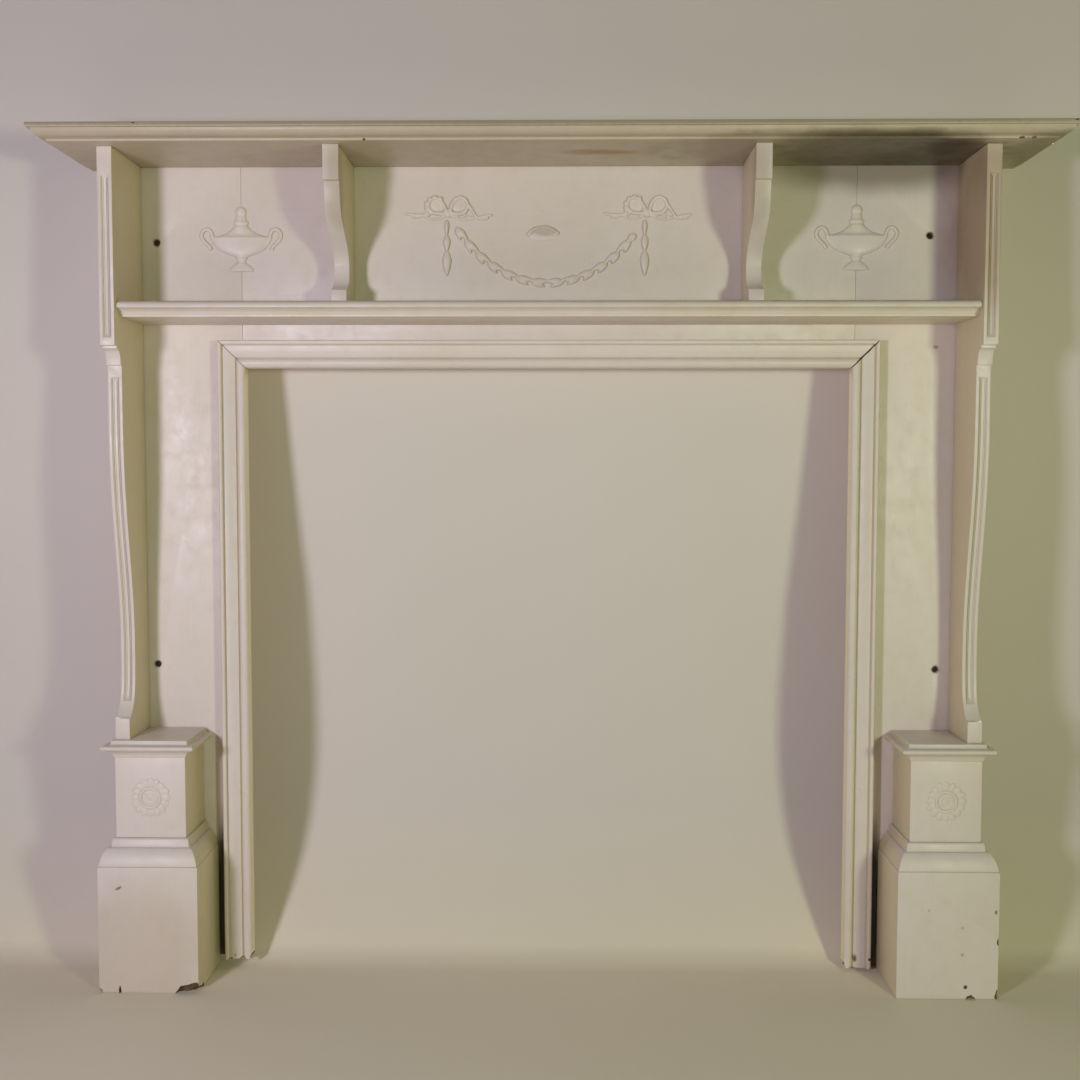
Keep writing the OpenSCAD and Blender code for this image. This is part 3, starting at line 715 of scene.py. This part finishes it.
# The urn's outline from its foot up, and the line of a handle from the rim out and down, in mm
urn_rings = [
    (20, 4.0, 0), (20.5, 4.6, 2), (18.5, 4.6, 6), (14, 4.4, 10.5), (9, 4.0, 13.5), (6.2, 3.6, 15.5),
    (8.4, 4.4, 17.5), (9.4, 4.9, 20), (8.8, 4.6, 22), (10.5, 4.6, 23.5), (19, 5.4, 26), (27, 6.0, 29),
    (35, 6.5, 33), (41, 6.8, 38), (45.5, 7.0, 44), (48.5, 7.1, 49.5), (50, 7.2, 52), (49.5, 7.2, 54.4),
    (45, 6.2, 55.4), (34, 5.0, 57.8), (25, 4.8, 61), (17, 5.2, 66), (11.5, 5.4, 71.5), (9.8, 4.6, 73.5),
    (12, 5.2, 75), (12, 5.2, 79), (8.8, 4.4, 80.5), (8.7, 4.3, 86), (7.6, 4.0, 89), (8.6, 4.6, 92),
    (8.9, 4.8, 95), (8.2, 4.6, 98.4), (5.2, 3.6, 101.6), (1.2, 1.4, 103.2)]
handle = [(46, 53), (47.5, 61), (53, 67), (59.5, 66), (63.5, 59), (61.5, 51), (56, 45), (51, 40), (48, 35)]
low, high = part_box("urn_left")
foot = ((low.x + high.x) / 2, board_face, low.z)
parts = [turned(foot, urn_rings)]
for turn in (-1, 1):
    parts.append(roll_of(foot, [(turn * x, z) for x, z in handle], 3.4, 1.1))
urn_left = moulded(parts, "moulded_urn_left", 0.9, 3)
urn_right = again(urn_left, "moulded_urn_right", Matrix.Translation(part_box("urn_right")[0] - low))
fix(urn_left, "urn_left")
fix(urn_right, "urn_right")


# ---------------------------------------------------------------------------
# Bows: a ribbon tied in two round loops with long forked tails, pressed in
# composition. Each left loop is crumpled at its edge.
# ---------------------------------------------------------------------------

# Each strand: its line in mm from the knot, its half thickness in mm, and how far it is proud of that
whole_side = [
    ([(3, 2), (5, 11), (9, 19), (16, 24.5), (24, 24), (30, 17), (30, 8), (24, 1.5), (15, -0.5), (6, 0)],
     3.6, 1.35),
    ([(29, 20), (35, 10), (41, 0), (47, -8)], 2.5, 1.6),
    ([(45, -7), (54, -5), (63, -3), (70, -3)], 2.3, 1.7),
    ([(47, -8), (56, -9), (64, -7)], 2.0, 1.8),
    ([(6, -4), (16, -8), (29, -10), (38, -8)], 2.0, 1.5),
    ([(22, -1), (32, -5), (42, -8)], 2.0, 1.4)]
crumpled_side = [
    ([(-3, 2), (-6, 11), (-11, 19), (-18, 24), (-26, 23), (-31, 17), (-31, 8), (-25, 2), (-15, 0), (-6, 0)],
     3.3, 1.35),
    ([(-33, 16), (-36, 9), (-34, 3), (-38, -1), (-44, -3)], 2.3, 1.7),
    ([(-28, 0), (-37, -4), (-47, -2), (-58, -2), (-69, 0)], 2.3, 1.7),
    ([(-42, -3), (-51, -6), (-58, -6)], 2.0, 1.7),
    ([(-6, -4), (-15, -8), (-27, -9), (-35, -6)], 2.0, 1.4)]
low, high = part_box("bow_left")
knot = ((low.x + high.x) / 2, board_face, low.z + 9 * MM)
parts = [turned((knot[0], knot[1], knot[2] - 7 * MM), [
    (2, 2, 0), (4.4, 4.2, 2), (5.6, 5.2, 6), (5.6, 5.2, 9), (4.4, 4.2, 12), (2, 2, 14)], 24)]
for path, thick, flat in whole_side + crumpled_side:
    parts.append(roll_of(knot, path, thick, flat))
# The hollow of each loop, and the five puckers round the crumpled one
lumps = [(17, 12, 11, 2.2), (-18, 12, 11, 2.2)]
for pucker in range(5):
    around = math.radians(195 - 34 * pucker)
    lumps.append((-20 + 15 * math.cos(around), 12 + 13.5 * math.sin(around), 3.8, 6.0))
for x, z, wide, proud in lumps:
    bpy.ops.object.select_all(action="DESELECT")
    bpy.ops.mesh.primitive_uv_sphere_add(
        segments=16, ring_count=8, radius=1, location=(knot[0] + x * MM, knot[1], knot[2] + z * MM))
    lump = bpy.context.active_object
    lump.scale = (wide * MM, proud * MM, wide * MM)
    bpy.ops.object.transform_apply(location=True, rotation=True, scale=True)
    parts.append(lump)
bow_left = moulded(parts, "moulded_bow_left", 0.9, 4)
bow_right = again(bow_left, "moulded_bow_right", Matrix.Translation(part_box("bow_right")[0] - low))
fix(bow_left, "bow_left")
fix(bow_right, "bow_right")


# ---------------------------------------------------------------------------
# Husks: pointed bell flowers pressed in strings. Three hang below each bow,
# growing longer, and seven a side make the swag between the bows.
# ---------------------------------------------------------------------------

# One leaf of a husk, 10 mm long and 10 mm wide, that hangs from the origin
leaf = turned((0, 0, 0), [
    (1.5, 2.4, 0), (3.5, 4.2, -1.2), (5.0, 5.6, -3.4), (4.7, 5.8, -5.2), (3.1, 5.2, -7.6), (1.4, 4.2, -9.3),
    (0.4, 2.4, -10)], 20)


def husk(at, length, width, lean, second=0):
    """A husk that hangs from a point, turned by lean degrees about it, with a second leaf at one side."""
    made = []
    leaves = [(1.0, 1.0, 0)]
    if second:
        leaves = [(1.0, 0.86, -7 * second), (0.80, 0.62, 17 * second)]
    for long, wide, turn in leaves:
        place = (Matrix.Translation(at) @ Matrix.Rotation(math.radians(lean + turn), 4, "Y")
                 @ Matrix.Diagonal((width * wide / 10, 1, length * long / 10, 1)))
        made.append(again(leaf, "husk_leaf", place))
    return made


for node, shift in (("husk_drop_left", -2.5), ("husk_drop_right", -4)):
    low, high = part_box(node)
    middle = (low.x + high.x) / 2 + shift * MM
    drop = high.z - low.z
    parts = []
    start = high.z
    for share, width in ((0.28, 8), (0.29, 12), (0.43, 15)):
        parts += husk((middle, board_face, start), share * drop / MM + 2, width, 0)
        start -= share * drop
    string = moulded(parts, "moulded_" + node, 0.8, 2)
    fix(string, node)

low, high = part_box("husk_garland")
middle = (low.x + high.x) / 2
half = (high.x - low.x) / 2 - 5 * MM
drop = high.z - low.z - 11 * MM
bend = 0.55 * half
count = 7

# The chain hangs as a chain does; its husks are set at equal steps along it, from its middle outwards
chain = []
for step in range(201):
    x = half * step / 200
    chain.append((x, drop * (math.cosh(x / bend) - 1) / (math.cosh(half / bend) - 1)))
run = [0.0]
for (x0, z0), (x1, z1) in zip(chain, chain[1:]):
    run.append(run[-1] + math.hypot(x1 - x0, z1 - z0))
links = [chain[min(range(len(run)), key=lambda i: abs(run[i] - run[-1] * link / count))]
         for link in range(count + 1)]
parts = []
for turn in (-1, 1):
    for link, ((x1, z1), (x0, z0)) in enumerate(zip(links, links[1:])):
        start = [middle + turn * x0, board_face, low.z + 7 * MM + z0]
        lean = math.degrees(math.atan2(turn * (x0 - x1), z0 - z1))
        length = math.hypot(x0 - x1, z0 - z1) / MM + 2.5
        # The last husk on the right is a small one and stops short of the knot
        if turn == 1 and link == count - 1:
            length *= 0.62
            start[0] -= 7 * MM
            start[2] -= 10 * MM
        parts += husk(start, length, 14, lean, second=-turn)
garland = moulded(parts, "moulded_husk_garland", 0.9, 2)
bpy.data.objects.remove(leaf)
fix(garland, "husk_garland")


# ---------------------------------------------------------------------------
# Medallion: a small oval that filled the middle of the frieze. Only its upper
# rim still stands up; the rest has been worn or scraped almost flat.
# ---------------------------------------------------------------------------

low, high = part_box("medallion")
heart = (low + high) / 2
bpy.ops.object.select_all(action="DESELECT")
bpy.ops.mesh.primitive_uv_sphere_add(
    segments=40, ring_count=20, radius=1, location=(heart.x, board_face, heart.z))
oval = bpy.context.active_object
oval.scale = ((high.x - low.x) / 2, 2.2 * MM, (high.z - low.z) / 2)
bpy.ops.object.transform_apply(location=True, rotation=True, scale=True)
middle = (heart.x, board_face, heart.z)
rim = roll_of(middle, [(-25, -2), (-17, 6), (-4, 10.5), (9, 10), (20, 4), (25, 0)], 3.6, 1.3)
brow = roll_of(middle, [(-12, 3), (-2, 6), (8, 5.5), (14, 2)], 3.2, 1.1)
medallion = moulded([oval, rim, brow], "moulded_medallion", 0.8, 10)
medallion.data.materials.clear()
# The same gloss, with a painted shadow darkening it along the rim
medallion.data.materials.append(gloss_paint("cream_gloss_medallion", 0, [
    {"at": (heart.x + 1 * MM, heart.y, heart.z + 5 * MM), "size": (27 * MM, 9 * MM, 9 * MM),
     "tint": "#a08d7b", "strength": 0.42, "ragged": 0.2}], grime_and_shade=0.6))
fix(medallion, "medallion")


# ---------------------------------------------------------------------------
# Rosettes: an open flower with a ring of blunt petals, a raised ring and a
# boss, pressed in composition and glued to the face of each die.
# ---------------------------------------------------------------------------

petals = 16
low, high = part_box("rosette_left")
heart = (low + high) / 2
die_face = high.y
reach = (high.x - low.x) / 2
bpy.ops.object.select_all(action="DESELECT")
bpy.ops.mesh.primitive_uv_sphere_add(segments=20, ring_count=10, radius=1, location=(0, 0, 0))
petal = bpy.context.active_object
bpy.ops.object.mode_set(mode="EDIT")
bpy.ops.mesh.select_all(action="SELECT")
bpy.ops.transform.resize(value=(0.26 * reach, 2.3 * MM, 0.185 * reach), center_override=(0, 0, 0))
bpy.ops.object.mode_set(mode="OBJECT")

# The petals were pressed a little unequal, and thick paint has filled between some of them
random.seed(5)
parts = []
for turn in range(petals):
    spin = Matrix.Rotation(-2 * math.pi * turn / petals, 4, "Y")
    uneven = Matrix.Diagonal((
        random.uniform(0.88, 1.10), random.uniform(0.85, 1.12), random.uniform(0.85, 1.12), 1))
    out = Matrix.Translation((0.73 * reach, 0, 0))
    parts.append(again(
        petal, "rosette_petal", Matrix.Translation((heart.x, die_face, heart.z)) @ spin @ out @ uneven))
bpy.data.objects.remove(petal)
for ring, thick in ((0.48, 0.09), (0.27, 0.055)):
    bpy.ops.object.select_all(action="DESELECT")
    bpy.ops.mesh.primitive_torus_add(
        major_segments=48, minor_segments=12, major_radius=ring * reach, minor_radius=thick * reach,
        location=(heart.x, die_face - 1.2 * MM, heart.z), rotation=(math.pi / 2, 0, 0))
    bpy.ops.object.transform_apply(location=True, rotation=True, scale=True)
    parts.append(bpy.context.active_object)
for wide, proud in ((0.56 * reach, 1.8 * MM), (0.15 * reach, 3.6 * MM)):
    bpy.ops.object.select_all(action="DESELECT")
    bpy.ops.mesh.primitive_uv_sphere_add(
        segments=32, ring_count=16, radius=1, location=(heart.x, die_face, heart.z))
    dome = bpy.context.active_object
    dome.scale = (wide, proud, wide)
    bpy.ops.object.transform_apply(location=True, rotation=True, scale=True)
    parts.append(dome)
rosette_left = moulded(parts, "moulded_rosette_left", 0.6, 9, die_face)
rosette_right = again(
    rosette_left, "moulded_rosette_right", Matrix.Translation(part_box("rosette_right")[0] - low))
fix(rosette_left, "rosette_left")
fix(rosette_right, "rosette_right")


# ---------------------------------------------------------------------------
# Two lamps behind the wall light only the mantelpiece itself, through the
# paper, so that its back can be looked at; the front keeps the studio's light.
# ---------------------------------------------------------------------------

lit = bpy.data.collections.new("lit_from_behind")
for piece in bpy.context.scene.objects:
    if piece.name.startswith("painted_") and not piece.name.startswith("painted_plinth"):
        lit.objects.link(piece)
rear_lamps = (("rear_lamp_left", (-1.7, 2.5, 2.3), 34.0), ("rear_lamp_right", (1.9, 2.3, 2.1), 26.0))
for name, place, power in rear_lamps:
    rear = lamp(name, place, (0, 0, 0.7), power, "#fffaf2", 1.0)
    rear.light_linking.receiver_collection = lit
    rear.light_linking.blocker_collection = lit
